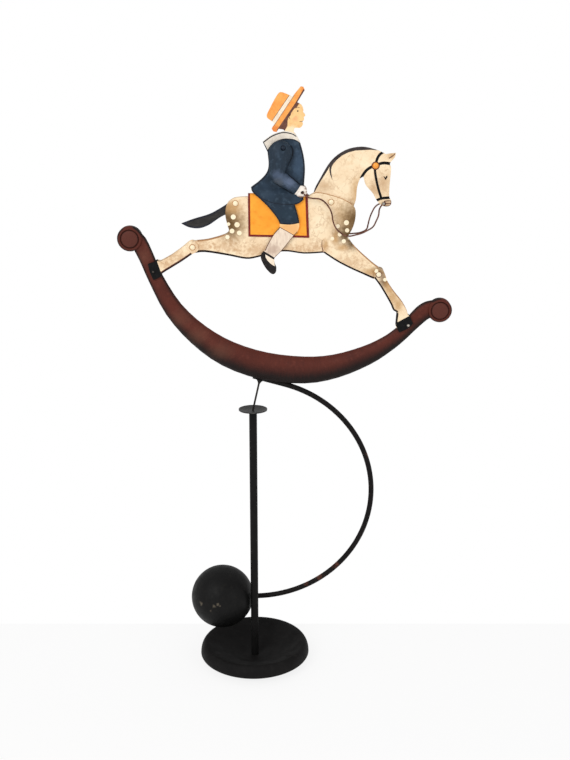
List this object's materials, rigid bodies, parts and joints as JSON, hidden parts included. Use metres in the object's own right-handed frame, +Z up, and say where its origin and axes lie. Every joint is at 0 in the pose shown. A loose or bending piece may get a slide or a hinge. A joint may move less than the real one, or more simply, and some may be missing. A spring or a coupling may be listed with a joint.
{
  "type": "counterweight balancing toy",
  "caption": "Sheet-metal rider on a rocking horse, poised by a pin on a dish atop a post, with a ball on a bent rod below keeping it in balance as it rocks and turns.",
  "frame": {"origin": "centre of the base's flat underside, on the surface it stands on", "axes": "+X the way the horse heads, +Y away from the side that is seen, +Z up along the post"},
  "size_m": [0.2684, 0.096, 0.4911],
  "materials": {
    "base_black": "satin",
    "post_black": "satin",
    "ball_black": "satin",
    "rod_black": "satin",
    "plain_steel": "satin",
    "rivet_steel": "satin",
    "rocker_red": "satin",
    "horse_cream": "satin",
    "tail_charcoal": "satin",
    "cloth_orange": "satin",
    "rider_navy": "satin",
    "rein_brown": "matte"
  },
  "bodies": {
    "stand": {"base": "base_black", "post": "post_black", "post_screw": "plain_steel"},
    "dish": {"pivot_dish": "post_black"},
    "balance": {"pivot_pin": "rod_black", "counterweight_rod": "rod_black", "counterweight_ball": "ball_black", "rocker_front_half": "rocker_red", "rocker_back_half": "rocker_red", "horse_body_front": "horse_cream", "horse_body_back": "horse_cream", "horse_neck": "horse_cream", "horse_tail": "tail_charcoal", "hind_shin_front": "horse_cream", "hind_shin_back": "horse_cream", "fore_shin_front": "horse_cream", "fore_shin_back": "horse_cream", "neck_rivet": "rivet_steel", "tail_rivet": "rivet_steel", "hock_rivet": "rivet_steel", "knee_rivet": "rivet_steel", "hoof_rivets": "rod_black", "saddle_cloth": "cloth_orange", "rider_front": "rider_navy", "rider_back": "rider_navy", "arm_front": "rider_navy", "arm_back": "rider_navy", "shoulder_spacers": "rivet_steel", "shoulder_rivet": "rivet_steel", "bridle_rosette": "cloth_orange", "bit": "plain_steel", "rein_front": "rein_brown", "rein_back": "rein_brown"}
  },
  "joints": [
    {"name": "spin", "type": "hinge", "parent": "stand", "child": "dish", "pos_m": [0, 0, 0.23066], "axis": [0, 0, 1], "continuous": true},
    {"name": "rock", "type": "hinge", "parent": "dish", "child": "balance", "pos_m": [0, 0, 0.23066], "axis": [0, 1, 0], "range_deg": [0, 25]}
  ]
}
